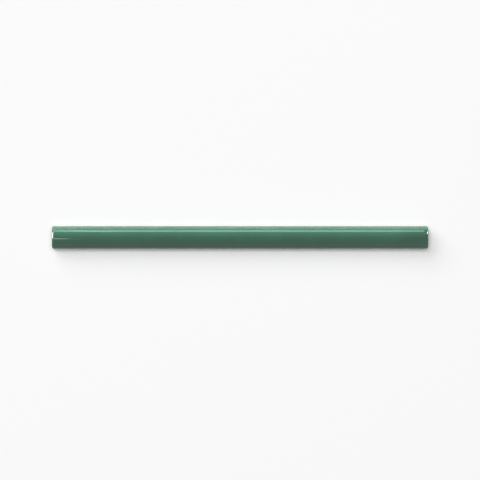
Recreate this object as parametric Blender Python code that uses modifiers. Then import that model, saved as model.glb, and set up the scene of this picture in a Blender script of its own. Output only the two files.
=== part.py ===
"""Pencil liner tile: a half-round bar of pressed and glazed ceramic that trims the edge of a wall tile.

The bar lies on its back as one solid. X runs along it, Y across it and Z up, out of the wall.
The origin is the middle of the back.
"""

import math

import bmesh
import bpy

# Driving dimensions, in metres
LENGTH = 0.200  # end to end, the 8 inch size
WIDTH = 0.012  # across the bar where the half round meets the flanks, the half inch size
FLANK_HEIGHT = 0.005  # from the back up to where the half round begins
CROWN_RISE = 0.006  # from there to the top of the half round
FLANK_DRAW = 0.0002  # how far each flank leans in towards the back, so that it leaves the die
END_RADIUS = 0.0015  # rounding between the face or a flank and an end
BACK_CHAMFER = 0.0003  # chamfer round the edge of the back

# Keying grooves, pressed into the back so that the adhesive grips
KEY_COUNT = 4
KEY_WIDTH = 0.0014  # across a groove at the back
KEY_DEPTH = 0.0004
KEY_EDGE_LAND = 0.0013  # flat left between an outer groove and the edge of the back
KEY_END_LAND = 0.0080  # flat left between the end of a groove and the end of the bar

# Fineness of the round surfaces
CROWN_FACETS = 40
END_FACETS = 6
KEY_FACETS = 40
KEY_END_FACETS = 6

# Handle length, as a share of the radius, that makes a Bezier quarter ellipse
QUARTER_HANDLE = 4 / 3 * (math.sqrt(2) - 1)
# Edges of the back meet at a right angle, and every other edge is far shallower once the ends are round
SQUARE_EDGE_ANGLE = math.radians(60)
SMOOTH_ANGLE = math.radians(30)
WELD_DISTANCE = 0.000001

BACK_WIDTH = WIDTH - 2 * FLANK_DRAW

GLAZE_COLOUR = (0.060, 0.195, 0.125, 1.0)
BISQUE_COLOUR = (0.72, 0.66, 0.57, 1.0)


def clear_scene():
    for obj in list(bpy.data.objects):
        bpy.data.objects.remove(obj, do_unlink=True)


def new_collection(name):
    collection = bpy.data.collections.new(name)
    bpy.context.scene.collection.children.link(collection)
    return collection


def ceramic_material(name, colour, roughness):
    material = bpy.data.materials.new(name)
    material.use_nodes = True
    shader = material.node_tree.nodes["Principled BSDF"]
    shader.inputs["Base Color"].default_value = colour
    shader.inputs["Roughness"].default_value = roughness
    shader.inputs["Metallic"].default_value = 0.0
    material.diffuse_color = colour
    return material


def set_point(point, place, handle_left=None, handle_right=None):
    """Puts a Bezier point in the drawing plane. A side with no handle given runs straight."""
    point.co = (*place, 0)
    point.handle_left_type = "FREE" if handle_left else "VECTOR"
    point.handle_right_type = "FREE" if handle_right else "VECTOR"
    if handle_left:
        point.handle_left = (*handle_left, 0)
    if handle_right:
        point.handle_right = (*handle_right, 0)


def section_curve():
    """The bar's section as a filled outline: flat back, leaning flanks and a half ellipse between them."""
    half_width = WIDTH / 2
    half_back = BACK_WIDTH / 2
    crown = FLANK_HEIGHT + CROWN_RISE
    side_handle = FLANK_HEIGHT + QUARTER_HANDLE * CROWN_RISE
    crown_handle = QUARTER_HANDLE * half_width

    curve = bpy.data.curves.new("bar_section", "CURVE")
    curve.dimensions = "2D"
    curve.fill_mode = "BOTH"
    curve.extrude = LENGTH / 2
    curve.resolution_u = CROWN_FACETS // 2
    spline = curve.splines.new("BEZIER")
    spline.use_cyclic_u = True
    spline.bezier_points.add(4)
    back_right, side_right, top, side_left, back_left = spline.bezier_points
    set_point(back_right, (half_back, 0))
    set_point(side_right, (half_width, FLANK_HEIGHT), handle_right=(half_width, side_handle))
    set_point(top, (0, crown), (crown_handle, crown), (-crown_handle, crown))
    set_point(side_left, (-half_width, FLANK_HEIGHT), handle_left=(-half_width, side_handle))
    set_point(back_left, (-half_back, 0))
    return curve


def pressed_bar(collection, glaze, bisque):
    """The section drawn out to the full length, as a mesh whose flat faces are whole."""
    drawn = bpy.data.objects.new("bar_section", section_curve())
    # The drawing's X and Y become the bar's Y and Z, and its thickness becomes the length
    drawn.rotation_euler = (math.radians(90), 0, math.radians(90))
    collection.objects.link(drawn)
    bpy.context.view_layer.update()
    graph = bpy.context.evaluated_depsgraph_get()
    mesh = bpy.data.meshes.new_from_object(drawn.evaluated_get(graph))
    mesh.name = "pencil_liner"
    mesh.transform(drawn.matrix_world)
    bpy.data.objects.remove(drawn, do_unlink=True)

    shape = bmesh.new()
    shape.from_mesh(mesh)
    bmesh.ops.remove_doubles(shape, verts=shape.verts, dist=WELD_DISTANCE)
    bmesh.ops.dissolve_limit(shape, angle_limit=math.radians(0.5), verts=shape.verts, edges=shape.edges)
    bmesh.ops.recalc_face_normals(shape, faces=shape.faces)
    shape.to_mesh(mesh)
    shape.free()
    mesh.materials.clear()
    mesh.materials.append(glaze)
    mesh.materials.append(bisque)
    bar = bpy.data.objects.new("pencil_liner", mesh)
    collection.objects.link(bar)
    return bar


def mark_end_edges(bar):
    """Gives the edges round both ends a bevel weight, but not the straight edge along the back."""
    mesh = bar.data
    weights = mesh.attributes.new("bevel_weight_edge", "FLOAT", "EDGE")
    for edge in mesh.edges:
        start, stop = (mesh.vertices[index].co for index in edge.vertices)
        round_the_end = abs(start.x - stop.x) < WELD_DISTANCE
        along_the_back = max(abs(start.z), abs(stop.z)) < WELD_DISTANCE
        weights.data[edge.index].value = 1.0 if round_the_end and not along_the_back else 0.0


def paint_back(bar):
    """The back is bare clay, and all the rest is glazed."""
    for polygon in bar.data.polygons:
        polygon.material_index = 1 if polygon.normal.z < -0.9 else 0


def round_the_ends(bar):
    ends = bar.modifiers.new("rounded_ends", "BEVEL")
    ends.limit_method = "WEIGHT"
    ends.width = END_RADIUS
    ends.segments = END_FACETS
    ends.use_clamp_overlap = False
    chamfer = bar.modifiers.new("back_chamfer", "BEVEL")
    chamfer.limit_method = "ANGLE"
    chamfer.angle_limit = SQUARE_EDGE_ANGLE
    chamfer.width = BACK_CHAMFER
    chamfer.segments = 1
    chamfer.use_clamp_overlap = False


def key_radius():
    """Radius of the round-bottomed groove that is KEY_WIDTH across at the back and KEY_DEPTH deep."""
    return (KEY_WIDTH**2 / 4 + KEY_DEPTH**2) / (2 * KEY_DEPTH)


def key_places():
    """Where the grooves' middles lie across the back, evenly spaced between the two outer lands."""
    reach = BACK_WIDTH / 2 - KEY_EDGE_LAND - KEY_WIDTH / 2
    pitch = 2 * reach / (KEY_COUNT - 1)
    return [-reach + pitch * index for index in range(KEY_COUNT)]


def key_profile():
    """Half outline of a round-ended rod, from its top pole down its outer side to its bottom pole."""
    radius = key_radius()
    # A groove fades out where the rod's round end leaves the back, which is short of the rod's own tip
    fade = KEY_WIDTH / 2
    straight = LENGTH / 2 - KEY_END_LAND - fade
    steps = [math.radians(90) * index / KEY_END_FACETS for index in range(KEY_END_FACETS + 1)]
    upper = [(radius * math.sin(turn), straight + radius * math.cos(turn)) for turn in steps]
    lower = [(across, -along) for across, along in reversed(upper)]
    return upper + lower


def key_cutter(name, place, collection, bisque):
    """A rod with round ends, laid along the back so deep that it cuts one groove."""
    profile = key_profile()
    mesh = bpy.data.meshes.new(name)
    points = [(across, 0, along) for across, along in profile]
    mesh.from_pydata(points, [(index, index + 1) for index in range(len(points) - 1)], [])
    mesh.materials.append(bisque)
    cutter = bpy.data.objects.new(name, mesh)
    cutter.rotation_euler = (0, math.radians(90), 0)
    cutter.location = (0, place, KEY_DEPTH - key_radius())
    cutter.hide_render = True
    cutter.display_type = "WIRE"
    turned = cutter.modifiers.new("turned", "SCREW")
    turned.steps = KEY_FACETS
    turned.render_steps = KEY_FACETS
    turned.use_merge_vertices = True
    turned.merge_threshold = WELD_DISTANCE
    collection.objects.link(cutter)
    return cutter


def cut_keys(bar, cutters):
    keys = bar.modifiers.new("keying_grooves", "BOOLEAN")
    keys.operation = "DIFFERENCE"
    keys.solver = "EXACT"
    keys.operand_type = "COLLECTION"
    keys.collection = cutters
    keys.material_mode = "TRANSFER"


def main():
    clear_scene()
    parts = new_collection("Pencil liner tile")
    cutters = new_collection("Keying groove cutters")
    glaze = ceramic_material("green_glaze", GLAZE_COLOUR, 0.08)
    bisque = ceramic_material("bare_bisque", BISQUE_COLOUR, 0.85)

    bar = pressed_bar(parts, glaze, bisque)
    bar.data.shade_smooth()
    bar.data.set_sharp_from_angle(angle=SMOOTH_ANGLE)
    mark_end_edges(bar)
    paint_back(bar)
    round_the_ends(bar)
    for number, place in enumerate(key_places(), start=1):
        key_cutter(f"key_cutter_{number}", place, cutters, bisque)
    cut_keys(bar, cutters)


main()
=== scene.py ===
"""Pencil liner tile: a half-round bar of pressed clay under a coat of green glaze, lying on its back.

X runs along the bar, Y across it and Z up, out of the wall that it would trim. All lengths are in metres.
"""

import math

import bmesh
import bpy
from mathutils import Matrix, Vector


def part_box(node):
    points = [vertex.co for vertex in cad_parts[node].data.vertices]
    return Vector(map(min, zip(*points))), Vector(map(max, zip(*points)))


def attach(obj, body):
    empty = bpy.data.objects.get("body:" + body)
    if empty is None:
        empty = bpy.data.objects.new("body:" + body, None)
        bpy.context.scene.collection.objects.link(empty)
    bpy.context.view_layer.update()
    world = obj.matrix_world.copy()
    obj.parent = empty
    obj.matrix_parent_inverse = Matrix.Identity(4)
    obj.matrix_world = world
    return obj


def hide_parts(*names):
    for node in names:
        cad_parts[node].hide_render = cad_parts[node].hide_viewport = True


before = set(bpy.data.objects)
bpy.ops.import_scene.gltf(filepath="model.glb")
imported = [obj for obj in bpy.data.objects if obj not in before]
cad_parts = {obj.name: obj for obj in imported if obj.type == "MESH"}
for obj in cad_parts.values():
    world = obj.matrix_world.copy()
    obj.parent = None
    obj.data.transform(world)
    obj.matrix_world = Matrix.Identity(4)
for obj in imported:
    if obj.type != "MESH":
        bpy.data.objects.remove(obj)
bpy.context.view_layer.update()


# The clay body. White clay dust is struck in a steel die with the half round up, so that the back comes
# out with the die's four keying grooves, and it is fired before it is glazed. It stays bare on its back and
# foot, and elsewhere it lies a little inside the bar's own faces, under the glaze.
bar_low, bar_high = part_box("pencil_liner")
BAR_LENGTH = bar_high.x - bar_low.x
BAR_HALF_WIDTH = (bar_high.y - bar_low.y) / 2
BAR_HEIGHT = bar_high.z - bar_low.z
FLANK_HEIGHT = BAR_HEIGHT - BAR_HALF_WIDTH  # where the half round meets the flanks
FLANK_DRAW = 0.0002  # how far a flank leans in towards the back
END_RADIUS = 0.00135  # rounding between the crown and an end
CORNER_RADIUS = 0.0005  # rounding between a flank and an end, which the die keeps sharper
END_STEPS = 8
CROWN_STEPS = 48
LONG_CUTS = 100  # cuts across the whole length, before each part between them is halved
WALL_CUTS = 14  # cuts from flank to flank over an end wall, and over the back
WALL_BORDER = 0.00012  # the ring round an end wall's upper face, which keeps its shading flat

CLAY_INSET = 0.0002  # how far the clay lies inside the bar's own faces
CLAY_FOOT_ROUND = 0.0003  # rounding between the foot and the back
CLAY_FOOT_STEPS = 4
CLAY_FLANK_LEVELS = (0.0030, 0.0020, 0.0012, 0.0007, CLAY_FOOT_ROUND)  # heights of the flanks' rows
BACK_CUTS = 3  # cuts in each strip of the back, so that the grooves are round
CLAY_UNEVEN = 0.00005  # how far the clay's faces dip
CLAY_UNEVEN_SIZE = 0.003
CLAY_SHARP_ANGLE = 40  # in degrees, the least angle that stays sharp in the shading

KEY_COUNT = 4
KEY_WIDTH = 0.0014
KEY_DEPTH = 0.0004
KEY_EDGE_LAND = 0.0013  # flat left between an outer groove and the edge of the back
KEY_END_LAND = 0.0080  # flat left between the end of a groove and the end of the bar

TOUCH = 0.000002  # places nearer than this are the same place


def edit():
    """Opens the active piece for editing, with nothing selected."""
    bpy.ops.object.mode_set(mode="EDIT")
    bpy.ops.mesh.select_mode(type="VERT")
    bpy.ops.mesh.select_all(action="DESELECT")


def select_places(test):
    """Selects the points whose place passes the test, with the edges and faces between them."""
    bpy.ops.mesh.select_mode(type="VERT")
    mesh = bpy.context.object.data
    shape = bmesh.from_edit_mesh(mesh)
    for vert in shape.verts:
        vert.select = test(vert.co)
    shape.select_flush_mode()
    bmesh.update_edit_mesh(mesh)


def select_edges(test):
    """Selects the edges whose two ends pass the test."""
    bpy.ops.mesh.select_mode(type="EDGE")
    mesh = bpy.context.object.data
    shape = bmesh.from_edit_mesh(mesh)
    for edge in shape.edges:
        edge.select = test(edge.verts[0].co, edge.verts[1].co)
    shape.select_flush_mode()
    bmesh.update_edit_mesh(mesh)


def same(one, other):
    return abs(one - other) < TOUCH


def extrude(rise):
    """Grows what is selected by a new row of points, lifted by the rise."""
    bpy.ops.mesh.extrude_region_move(TRANSFORM_OT_translate={"value": (0, 0, rise)})


def resize(along=1.0, across=1.0, up=1.0, level=0.0):
    """Stretches what is selected about the middle of the bar at a level."""
    bpy.ops.transform.resize(value=(along, across, up), center_override=(0, 0, level))


def face_outwards():
    bpy.ops.mesh.select_all(action="SELECT")
    bpy.ops.mesh.normals_make_consistent(inside=False)
    bpy.ops.object.mode_set(mode="OBJECT")


def half_round(name, radius, length):
    """The upper half of a round bar without ends, left open for editing."""
    bpy.ops.object.select_all(action="DESELECT")
    bpy.ops.mesh.primitive_cylinder_add(
        vertices=2 * CROWN_STEPS,
        radius=radius,
        depth=length,
        end_fill_type="NOTHING",
        location=(0, 0, FLANK_HEIGHT),
        rotation=(0, math.radians(90), 0),
    )
    shell = bpy.context.object
    shell.name = name
    shell.data.name = name
    bpy.ops.object.transform_apply(location=True, rotation=True, scale=True)
    edit()
    bpy.ops.mesh.select_all(action="SELECT")
    bpy.ops.mesh.bisect(
        plane_co=(0, 0, FLANK_HEIGHT),
        plane_no=(0, 0, 1),
        clear_inner=True,
        threshold=TOUCH,
    )
    return shell


def grow_flanks(radius, levels):
    """Grows the flanks down from the half round's open edges, row by row, leaning in towards the back."""
    select_places(lambda place: same(place.z, FLANK_HEIGHT))
    height = FLANK_HEIGHT
    for level in levels:
        extrude(level - height)
        lean_before = radius - FLANK_DRAW * (1 - height / FLANK_HEIGHT)
        lean_after = radius - FLANK_DRAW * (1 - level / FLANK_HEIGHT)
        resize(across=lean_after / lean_before)
        height = level


def grow_ends(radius, half_length, end_round, corner_round):
    """Grows both ends outwards together, ring by ring, through a quarter turn."""
    straight = half_length - end_round
    reach = straight
    rise = radius
    half_width = radius
    for step in range(1, END_STEPS + 1):
        turn = math.radians(90) * step / END_STEPS
        next_reach = straight + end_round * math.sin(turn)
        next_rise = radius - end_round * (1 - math.cos(turn))
        into_corner = max(0.0, next_reach - half_length + corner_round)
        next_half_width = radius - corner_round + math.sqrt(max(0.0, corner_round**2 - into_corner**2))
        select_places(lambda place: same(abs(place.x), reach))
        extrude(0)
        resize(along=next_reach / reach, across=next_half_width / half_width)
        select_places(lambda place: same(abs(place.x), next_reach) and place.z > FLANK_HEIGHT - TOUCH)
        resize(up=next_rise / rise, level=FLANK_HEIGHT)
        reach = next_reach
        rise = next_rise
        half_width = next_half_width


def wall_ends(half_length):
    """Lays each end wall in strips between the flanks, with one face under the half round."""
    for side in (1, -1):
        select_places(lambda place: same(place.x * side, half_length) and place.z < FLANK_HEIGHT + TOUCH)
        bpy.ops.mesh.bridge_edge_loops(number_cuts=WALL_CUTS, interpolation="LINEAR")
        select_places(lambda place: same(place.x * side, half_length) and place.z > FLANK_HEIGHT - TOUCH)
        bpy.ops.mesh.edge_face_add()
        bpy.ops.mesh.inset(thickness=WALL_BORDER)


def half_round_shell(name, inset, flank_levels):
    """The half round with its flanks, rounded ends and end walls, open below and facing outwards.

    It lies inside the bar's own faces by the inset, and its flanks go down through the given levels.
    """
    radius = BAR_HALF_WIDTH - inset
    half_length = BAR_LENGTH / 2 - inset
    end_round = END_RADIUS - inset
    corner_round = CORNER_RADIUS - inset

    shell = half_round(name, radius, 2 * (half_length - end_round))
    grow_flanks(radius, flank_levels)
    for cuts in (LONG_CUTS, 1):
        select_edges(lambda start, stop: not same(start.x, stop.x))
        bpy.ops.mesh.subdivide(number_cuts=cuts)
    grow_ends(radius, half_length, end_round, corner_round)
    wall_ends(half_length)
    face_outwards()
    return shell


clay = half_round_shell("clay_body", CLAY_INSET, CLAY_FLANK_LEVELS)

# The foot is rounded over into the back
foot_half_length = BAR_LENGTH / 2 - CLAY_INSET
foot_half_width = BAR_HALF_WIDTH - CLAY_INSET
edit()
level = CLAY_FOOT_ROUND
shrink = 0.0
for step in range(1, CLAY_FOOT_STEPS + 1):
    turn = math.radians(90) * step / CLAY_FOOT_STEPS
    next_level = CLAY_FOOT_ROUND * (1 - math.sin(turn))
    next_shrink = CLAY_FOOT_ROUND * (1 - math.cos(turn))
    select_places(lambda place: same(place.z, level))
    extrude(next_level - level)
    resize(
        along=(foot_half_length - next_shrink) / (foot_half_length - shrink),
        across=(foot_half_width - next_shrink) / (foot_half_width - shrink),
    )
    level = next_level
    shrink = next_shrink

# The back is laid in strips from one long side to the other, and merges with the foot at its short sides
back_end = foot_half_length - CLAY_FOOT_ROUND
back_points = [vert.co for vert in bmesh.from_edit_mesh(clay.data).verts if same(vert.co.z, 0)]
back_corner = max(abs(point.y) for point in back_points if same(abs(point.x), back_end))
select_places(
    lambda place: same(place.z, 0)
    and (abs(place.x) < back_end - TOUCH or abs(place.y) > back_corner - TOUCH)
)
bpy.ops.mesh.bridge_edge_loops(number_cuts=WALL_CUTS, interpolation="LINEAR")
bpy.ops.mesh.select_all(action="SELECT")
bpy.ops.mesh.remove_doubles(threshold=TOUCH)
select_edges(
    lambda start, stop: same(start.z, 0)
    and same(stop.z, 0)
    and same(start.x, stop.x)
    and abs(start.y - stop.y) > CLAY_FOOT_ROUND
)
bpy.ops.mesh.subdivide(number_cuts=BACK_CUTS)
face_outwards()

# The die's grooves have round bottoms and fade out short of the ends
key_round = (KEY_WIDTH**2 / 4 + KEY_DEPTH**2) / (2 * KEY_DEPTH)
key_reach = BAR_HALF_WIDTH - FLANK_DRAW - KEY_EDGE_LAND - KEY_WIDTH / 2
key_run = BAR_LENGTH / 2 - KEY_END_LAND - KEY_WIDTH / 2
key_middles = [key_reach * (2 * index / (KEY_COUNT - 1) - 1) for index in range(KEY_COUNT)]


def key_share(place):
    """How deep the grooves are at a place on the back, as a share of their full depth."""
    if not same(place.z, 0):
        return 0.0
    beside = min(abs(place.y - middle) for middle in key_middles)
    beyond = max(0.0, abs(place.x) - key_run)
    away = math.hypot(beside, beyond)
    if away >= KEY_WIDTH / 2:
        return 0.0
    return (math.sqrt(key_round**2 - away**2) - key_round + KEY_DEPTH) / KEY_DEPTH


def weigh(piece, group_name, share):
    """A vertex group whose weights come from the place of each point."""
    group = piece.vertex_groups.new(name=group_name)
    for vert in piece.data.vertices:
        weight = share(vert.co)
        if weight > 0:
            group.add([vert.index], weight, "REPLACE")
    return group.name


def uneven(name, size, depth=1):
    """A soft cloudy pattern with features of about the given size, and finer ones at a greater depth."""
    pattern = bpy.data.textures.new(name, "CLOUDS")
    pattern.noise_scale = size
    pattern.noise_depth = depth
    return pattern


def push(piece, name, direction, strength, group="", pattern=None, rest=0.0):
    """Pushes the points along a direction, by the strength times the pattern's value less the rest.

    Without a pattern the value is 1, and with a group each point's weight in it scales the push.
    """
    pushed = piece.modifiers.new(name, "DISPLACE")
    pushed.direction = direction
    pushed.strength = strength
    pushed.mid_level = rest
    pushed.vertex_group = group
    if pattern:
        pushed.texture = pattern
        pushed.texture_coords = "LOCAL"


def apply_modifiers(piece):
    bpy.ops.object.select_all(action="DESELECT")
    piece.select_set(True)
    bpy.context.view_layer.objects.active = piece
    for modifier in list(piece.modifiers):
        bpy.ops.object.modifier_apply(modifier=modifier.name)


keys = weigh(clay, "keys", key_share)
push(clay, "keying_grooves", "Z", KEY_DEPTH, group=keys)
clay_pattern = uneven("clay_unevenness", CLAY_UNEVEN_SIZE)
push(clay, "uneven_clay", "NORMAL", CLAY_UNEVEN, pattern=clay_pattern, rest=1.0)
apply_modifiers(clay)
bpy.ops.object.shade_smooth_by_angle(angle=math.radians(CLAY_SHARP_ANGLE))

CLAY_PALE = (0.78, 0.73, 0.65, 1.0)
CLAY_WARM = (0.66, 0.59, 0.49, 1.0)
CLAY_SPECK = (0.22, 0.15, 0.10, 1.0)
CLAY_ROUGHNESS = 0.88
CLAY_CLOUDS = 90.0  # the scales of the patterns, as features to the metre
CLAY_SPECKS = 900.0
CLAY_GRAINS = 4000.0
CLAY_GRAIN_DEPTH = 0.00006
CLOUD_RANGE = (0.35, 0.65)  # where the values of a cloudy pattern mostly lie
SPECK_RANGE = (0.10, 0.16)  # from a speck's rim to the clear clay, as shares of the specks' spacing


def new_material(name):
    """A material with its node tree and its shader."""
    material = bpy.data.materials.new(name)
    material.use_nodes = True
    return material, material.node_tree, material.node_tree.nodes["Principled BSDF"]


def object_places(tree):
    return tree.nodes.new("ShaderNodeTexCoord").outputs["Object"]


def noise(tree, places, scale, detail=2.0, roughness=0.5):
    pattern = tree.nodes.new("ShaderNodeTexNoise")
    pattern.inputs["Scale"].default_value = scale
    pattern.inputs["Detail"].default_value = detail
    pattern.inputs["Roughness"].default_value = roughness
    tree.links.new(places, pattern.inputs["Vector"])
    return pattern.outputs["Fac"]


def ranged(tree, value, from_range, to_range=(0.0, 1.0)):
    """The value stretched from one range to the other, with soft ends and no overshoot."""
    stretch = tree.nodes.new("ShaderNodeMapRange")
    stretch.interpolation_type = "SMOOTHSTEP"
    stretch.inputs["From Min"].default_value = from_range[0]
    stretch.inputs["From Max"].default_value = from_range[1]
    stretch.inputs["To Min"].default_value = to_range[0]
    stretch.inputs["To Max"].default_value = to_range[1]
    tree.links.new(value, stretch.inputs["Value"])
    return stretch.outputs["Result"]


def mixed(tree, share, first, second):
    """One colour turning into another. Each is a colour or the output of a node."""
    mix = tree.nodes.new("ShaderNodeMix")
    mix.data_type = "RGBA"
    tree.links.new(share, mix.inputs["Factor"])
    for socket, colour in ((mix.inputs["A"], first), (mix.inputs["B"], second)):
        if isinstance(colour, tuple):
            socket.default_value = colour
        else:
            tree.links.new(colour, socket)
    return mix.outputs["Result"]


def fine_relief(tree, shader, height, strength, depth):
    """Relief that is too fine to model."""
    relief = tree.nodes.new("ShaderNodeBump")
    relief.inputs["Strength"].default_value = strength
    relief.inputs["Distance"].default_value = depth
    tree.links.new(height, relief.inputs["Height"])
    tree.links.new(relief.outputs["Normal"], shader.inputs["Normal"])


bisque, tree, shader = new_material("bare_bisque")
places = object_places(tree)
cloudy = ranged(tree, noise(tree, places, CLAY_CLOUDS, detail=4.0), CLOUD_RANGE)
clay_colour = mixed(tree, cloudy, CLAY_PALE, CLAY_WARM)
specks = tree.nodes.new("ShaderNodeTexVoronoi")
specks.inputs["Scale"].default_value = CLAY_SPECKS
tree.links.new(places, specks.inputs["Vector"])
speck = ranged(tree, specks.outputs["Distance"], SPECK_RANGE, (1.0, 0.0))
clay_colour = mixed(tree, speck, clay_colour, CLAY_SPECK)
tree.links.new(clay_colour, shader.inputs["Base Color"])
shader.inputs["Roughness"].default_value = CLAY_ROUGHNESS
grains = noise(tree, places, CLAY_GRAINS, detail=3.0, roughness=0.6)
fine_relief(tree, shader, grains, strength=0.6, depth=CLAY_GRAIN_DEPTH)
clay.data.materials.clear()
clay.data.materials.append(bisque)

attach(clay, "root")
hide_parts("pencil_liner")


# The glaze coat. The bar's face and ends are sprayed with a lead-free green glaze, the foot is wiped clean,
# and in the kiln the glaze melts to a glassy skin that rounds the edges over and ends in a soft uneven bead.
COAT_THICKNESS = 0.0003
COAT_SPREAD = 1.007  # how much wider than the CAD's bar the glaze is, as it bulges out at the flanks
COAT_LEVELS = (0.0044, 0.0038, 0.0033, 0.0029, 0.0026, 0.0023, 0.0021, 0.0019, 0.0017, 0.00155, 0.0014)
COAT_EDGE = COAT_LEVELS[-1]
EDGE_WAVE = 0.0012  # how far the coat's edge wanders up and down
EDGE_WAVE_SIZE = 0.007
EDGE_WAVE_TOP = 0.0036  # where the wandering has faded out
BEAD = 0.00004  # how far the coat swells towards its edge
BEAD_TOP = 0.0023
FACE_WAVE = 0.00003  # how uneven the face is, and how far its lowest places stand out of the CAD's face
FACE_WAVE_SIZE = 0.022
RIM_ROUND = 0.0001
RIM_STEPS = 3
RIM_ANGLE = 50  # in degrees, the least angle that gets rounded

coat = half_round_shell("glaze_coat", 0.0, COAT_LEVELS)
edit()
bpy.ops.mesh.select_all(action="SELECT")
resize(across=COAT_SPREAD)
bpy.ops.object.mode_set(mode="OBJECT")


def fade(start, end):
    """A share of the height that is whole at start and below, and nothing at end and above."""
    return lambda place: min(1.0, max(0.0, (end - place.z) / (end - start)))


edge_wave = weigh(coat, "edge_wave", fade(COAT_EDGE, EDGE_WAVE_TOP))
bead = weigh(coat, "bead", fade(COAT_EDGE, BEAD_TOP))
face_pattern = uneven("glaze_face", FACE_WAVE_SIZE)
edge_pattern = uneven("glaze_edge", EDGE_WAVE_SIZE, depth=2)
push(coat, "uneven_face", "NORMAL", FACE_WAVE, pattern=face_pattern, rest=-1.0)
push(coat, "bead", "NORMAL", BEAD, group=bead)
push(coat, "uneven_edge", "Z", EDGE_WAVE, group=edge_wave, pattern=edge_pattern, rest=0.5)
skin = coat.modifiers.new("skin", "SOLIDIFY")
skin.thickness = COAT_THICKNESS
skin.offset = -1
rim = coat.modifiers.new("rounded_rim", "BEVEL")
rim.limit_method = "ANGLE"
rim.angle_limit = math.radians(RIM_ANGLE)
rim.width = RIM_ROUND
rim.segments = RIM_STEPS
apply_modifiers(coat)
bpy.ops.object.shade_smooth()

GLAZE = (0.0290, 0.175, 0.099, 1.0)
GLAZE_DEEP = (0.0262, 0.159, 0.090, 1.0)
GLAZE_THIN = (0.052, 0.220, 0.138, 1.0)
# painted shade: the glaze colour darkened near the right end, behind the crown
GLAZE_PAINTED_SHADE = (0.0215, 0.131, 0.0745, 1.0)
GLAZE_POOLS = 70.0  # the scales of the patterns, as features to the metre
GLAZE_MATT_PATCHES = 160.0
GLAZE_MATT_RANGE = (0.3, 0.7)  # where the values of their pattern lie
GLAZE_RIPPLES = 500.0
GLAZE_RIPPLE_DEPTH = 0.00001
GLAZE_ROUGHNESS = (0.04, 0.08)  # at the glossiest and at the dullest places
GLAZE_IOR = 1.6
THIN_REACH = (0.0985, 0.0998)  # from the middle, where the glaze thins over the edge of an end
THIN_SHARE = 0.5  # how far it thins there
SHADE_ALONG_BORDERS = (0.081, 0.093, 0.0986, 0.0998)  # borders of the painted shade along the bar
SHADE_ACROSS_BORDERS = (-0.0026, -0.0007, 0.0036, 0.0046)  # and across it


def calculated(tree, operation, first, second=None, third=None):
    """A calculation done by one node. Each value is a number or the output of a node."""
    step = tree.nodes.new("ShaderNodeMath")
    step.operation = operation
    for socket, value in zip(step.inputs, (first, second, third)):
        if isinstance(value, (int, float)):
            socket.default_value = value
        elif value is not None:
            tree.links.new(value, socket)
    return step.outputs["Value"]


def between(tree, value, borders):
    """1 between the two inner borders, fading to 0 at the outer ones."""
    rising = ranged(tree, value, borders[:2])
    falling = ranged(tree, value, borders[2:], (1.0, 0.0))
    return calculated(tree, "MULTIPLY", rising, falling)


glaze, tree, shader = new_material("green_glaze")
places = object_places(tree)
pooled = ranged(tree, noise(tree, places, GLAZE_POOLS, detail=3.0), CLOUD_RANGE)
glaze_colour = mixed(tree, pooled, GLAZE, GLAZE_DEEP)
split = tree.nodes.new("ShaderNodeSeparateXYZ")
tree.links.new(places, split.inputs["Vector"])
from_middle = calculated(tree, "ABSOLUTE", split.outputs["X"])
thin = ranged(tree, from_middle, THIN_REACH, (0.0, THIN_SHARE))
glaze_colour = mixed(tree, thin, glaze_colour, GLAZE_THIN)
# Painted shade: the glaze is darker near the right end, behind the crown, standing in for shade that falls
# there
shade_along = between(tree, split.outputs["X"], SHADE_ALONG_BORDERS)
shade_across = between(tree, split.outputs["Y"], SHADE_ACROSS_BORDERS)
painted_shade = calculated(tree, "MULTIPLY", shade_along, shade_across)
glaze_colour = mixed(tree, painted_shade, glaze_colour, GLAZE_PAINTED_SHADE)
tree.links.new(glaze_colour, shader.inputs["Base Color"])
matt_patches = noise(tree, places, GLAZE_MATT_PATCHES, detail=3.0)
roughness = ranged(tree, matt_patches, GLAZE_MATT_RANGE, GLAZE_ROUGHNESS)
tree.links.new(roughness, shader.inputs["Roughness"])
shader.inputs["IOR"].default_value = GLAZE_IOR
ripples = noise(tree, places, GLAZE_RIPPLES)
fine_relief(tree, shader, ripples, strength=0.5, depth=GLAZE_RIPPLE_DEPTH)
coat.data.materials.clear()
coat.data.materials.append(glaze)

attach(coat, "root")
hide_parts("pencil_liner")


# The floor, a plain pale sheet that the bar lies on. It shows as the photograph's white ground to the camera
# and in the glaze, with the bar's shadow kept, and gives the bar only the light of a pale sheet.
FLOOR_SIZE = 6.0
FLOOR_PALE = (0.95, 0.95, 0.95, 1.0)
FLOOR_SHOWN = 1.845  # the white that the camera sees, over 1 because the light on the floor is low
FLOOR_MIRRORED = 0.4  # the share of that white where the glaze mirrors the floor
FLOOR_SATIN = 0.2  # the roughness of its finish
FLOOR_IOR = 2.4

bpy.ops.object.select_all(action="DESELECT")
bpy.ops.mesh.primitive_plane_add(size=FLOOR_SIZE, location=(0, 0, 0))
floor = bpy.context.object
floor.name = "floor"
ground = bpy.data.materials.new("pale_ground")
ground.use_nodes = True
tree = ground.node_tree
tree.nodes.clear()


def unscattered(tree):
    """1 to a ray that has met no matt surface yet, and else 0, so that what is mirrored lights nothing."""
    path = tree.nodes.new("ShaderNodeLightPath")
    return calculated(tree, "LESS_THAN", path.outputs["Diffuse Depth"], 0.5)


def shown(tree, mirrored):
    """1 to the camera, the given share where the glaze mirrors it, and 0 as a light."""
    path = tree.nodes.new("ShaderNodeLightPath")
    glossy = calculated(tree, "MULTIPLY", path.outputs["Is Glossy Ray"], unscattered(tree))
    return calculated(tree, "MULTIPLY_ADD", glossy, mirrored, path.outputs["Is Camera Ray"])


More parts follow.
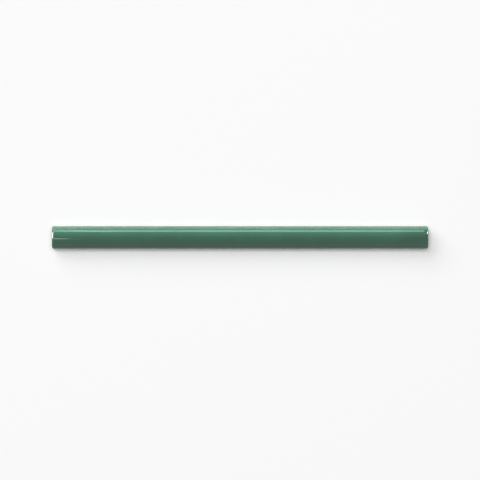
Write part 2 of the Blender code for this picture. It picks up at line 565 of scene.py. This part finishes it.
sheet = tree.nodes.new("ShaderNodeBsdfDiffuse")
white = (FLOOR_SHOWN, FLOOR_SHOWN, FLOOR_SHOWN, 1.0)
sheet_colour = mixed(tree, shown(tree, FLOOR_MIRRORED), FLOOR_PALE, white)
tree.links.new(sheet_colour, sheet.inputs["Color"])

# Its satin finish mirrors the back wall at a low angle, which shows in the glaze alone
satin = tree.nodes.new("ShaderNodeBsdfGlossy")
satin.inputs["Roughness"].default_value = FLOOR_SATIN
grazing = tree.nodes.new("ShaderNodeFresnel")
grazing.inputs["IOR"].default_value = FLOOR_IOR
path = tree.nodes.new("ShaderNodeLightPath")
satin_share = calculated(tree, "MULTIPLY", grazing.outputs["Fac"], path.outputs["Is Glossy Ray"])
finish = tree.nodes.new("ShaderNodeMixShader")
tree.links.new(satin_share, finish.inputs["Fac"])
tree.links.new(sheet.outputs["BSDF"], finish.inputs[1])
tree.links.new(satin.outputs["BSDF"], finish.inputs[2])
surface = tree.nodes.new("ShaderNodeOutputMaterial")
tree.links.new(finish.outputs["Shader"], surface.inputs["Surface"])
floor.data.materials.append(ground)


# The light. Two far soft boxes light all and give the ground its short shadow, to the right and towards the
# front, and a low one behind the bar lights its glaze alone. The others light nothing. They only show in the
# glaze, the back wall by way of the floor, as the photograph's lines, bands and bright spots.
BOX_DISTANCE = 8.0  # so far off that they light the ground evenly


def lit_panel(name, place, back, size, radiance, only=None, lights=True, mirrored=False):
    """A rectangular lamp at a place, with the direction of its back and its width and height.

    Its radiance is 1 if it is as bright as a white surface in full light. It lights matt surfaces, or shows
    where it is mirrored, or both, and where only names a collection, it does so on that collection's pieces.
    """
    bpy.ops.object.light_add(type="AREA", location=place)
    panel = bpy.context.object
    panel.name = name
    panel.data.shape = "RECTANGLE"
    panel.data.size, panel.data.size_y = size
    panel.data.energy = radiance * math.pi * size[0] * size[1]
    panel.rotation_mode = "QUATERNION"
    panel.rotation_quaternion = Vector(back).to_track_quat("Z", "Y")
    panel.visible_camera = False
    panel.visible_diffuse = lights
    panel.visible_glossy = mirrored
    if only:
        panel.light_linking.receiver_collection = only
    if mirrored:
        panel.data.use_nodes = True
        tree = panel.data.node_tree
        tree.links.new(unscattered(tree), tree.nodes["Emission"].inputs["Strength"])
    return panel


def soft_box(name, azimuth, elevation, spans, radiance, **use):
    """A far lamp that faces the bar from an azimuth, taken from +X, and an elevation.

    The spans are its width and height as seen from the bar. All angles are in degrees.
    """
    turn = math.radians(azimuth)
    rise = math.radians(elevation)
    back = Vector((math.cos(turn) * math.cos(rise), math.sin(turn) * math.cos(rise), math.sin(rise)))
    size = [2 * BOX_DISTANCE * math.tan(math.radians(span) / 2) for span in spans]
    return lit_panel(name, back * BOX_DISTANCE, back, size, radiance, **use)


glaze_alone = bpy.data.collections.new("Glaze alone")
glaze_alone.objects.link(coat)
floor_alone = bpy.data.collections.new("Floor alone")
floor_alone.objects.link(floor)
in_glaze = {"only": glaze_alone, "lights": False, "mirrored": True}
in_floor = {"only": floor_alone, "lights": False, "mirrored": True}

soft_box("overhead_box", azimuth=90, elevation=84.5, spans=(34, 28), radiance=3.87)
soft_box("upper_left_box", azimuth=130, elevation=42, spans=(50, 44), radiance=1.22)
low_key = soft_box("low_key", azimuth=100, elevation=2.5, spans=(50, 5), radiance=53.0, only=glaze_alone)
low_key.data.cycles.max_bounces = 0  # the glaze passes none of it on
soft_box("far_box", azimuth=89.8, elevation=21.5, spans=(9.4, 21.6), radiance=3.16, **in_glaze)
soft_box("far_left_box", azimuth=109.8, elevation=14.5, spans=(30, 29), radiance=2.25, **in_glaze)
soft_box("back_wall", azimuth=95, elevation=34, spans=(60, 50), radiance=4.6, **in_floor)
soft_box("front_wall", azimuth=270, elevation=0, spans=(120, 16), radiance=0.3, **in_glaze)

# Small bright cards stand right off the ends, where they show in an end's rounding and hardly elsewhere
CARD_GAP = 0.0006

card_reach = BAR_LENGTH / 2 + CARD_GAP
for name, side, across, height, size, radiance in (
    ("left_card", -1, 0.0027, 0.01075, (0.0027, 0.0014), 18.0),
    ("left_crown_card", -1, 0.00045, 0.01095, (0.0018, 0.0018), 18.0),
    ("right_card", 1, 0.0032, 0.01025, (0.0012, 0.0008), 60.0),
):
    lit_panel(name, (side * card_reach, across, height), (side, 0, 0), size, radiance, **in_glaze)

# A strip light hangs level beyond the left end, along the bar, and a long dim one over the bar and the right
for name, place, size, radiance in (
    ("strip_light", (-0.361, -0.109, 0.5), (0.475, 0.04), 6.8),
    ("dim_strip", (0.66, -0.125, 0.5), (1.56, 0.07), 0.16),
):
    lit_panel(name, place, (0, 0, 1), size, radiance, **in_glaze)


# The room round it, dim as a light and brighter where the glaze mirrors it. The camera would see it white.
ROOM_LIGHT = 0.02
ROOM_MIRRORED = 0.82

room = bpy.data.worlds.new("pale_room")
bpy.context.scene.world = room
room.use_nodes = True
tree = room.node_tree
brightness = calculated(tree, "MAXIMUM", shown(tree, ROOM_MIRRORED), ROOM_LIGHT)
tree.nodes["Background"].inputs["Color"].default_value = (1.0, 1.0, 1.0, 1.0)
tree.links.new(brightness, tree.nodes["Background"].inputs["Strength"])


# The camera looks straight down with a long lens, so that the bar lies where the photograph has it.
PHOTO_SIDE = 480
PIXELS_PER_METRE = 1876.0  # at the height where the half round meets the flanks
BAR_MIDDLE_PIXEL = (240.05, 237.49)
LENS = 200.0
SENSOR = 36.0
NEAREST_SEEN = 0.01
FARTHEST_SEEN = 100.0

field = PHOTO_SIDE / PIXELS_PER_METRE
camera_height = FLANK_HEIGHT + field * LENS / SENSOR
camera_x = (PHOTO_SIDE / 2 - BAR_MIDDLE_PIXEL[0]) / PIXELS_PER_METRE
camera_y = (BAR_MIDDLE_PIXEL[1] - PHOTO_SIDE / 2) / PIXELS_PER_METRE
bpy.ops.object.camera_add(location=(camera_x, camera_y, camera_height), rotation=(0, 0, 0))
camera = bpy.context.object
camera.name = "camera"
camera.data.lens = LENS
camera.data.sensor_width = SENSOR
camera.data.clip_start = NEAREST_SEEN
camera.data.clip_end = FARTHEST_SEEN
bpy.context.scene.camera = camera
bpy.context.scene.view_settings.view_transform = "Standard"
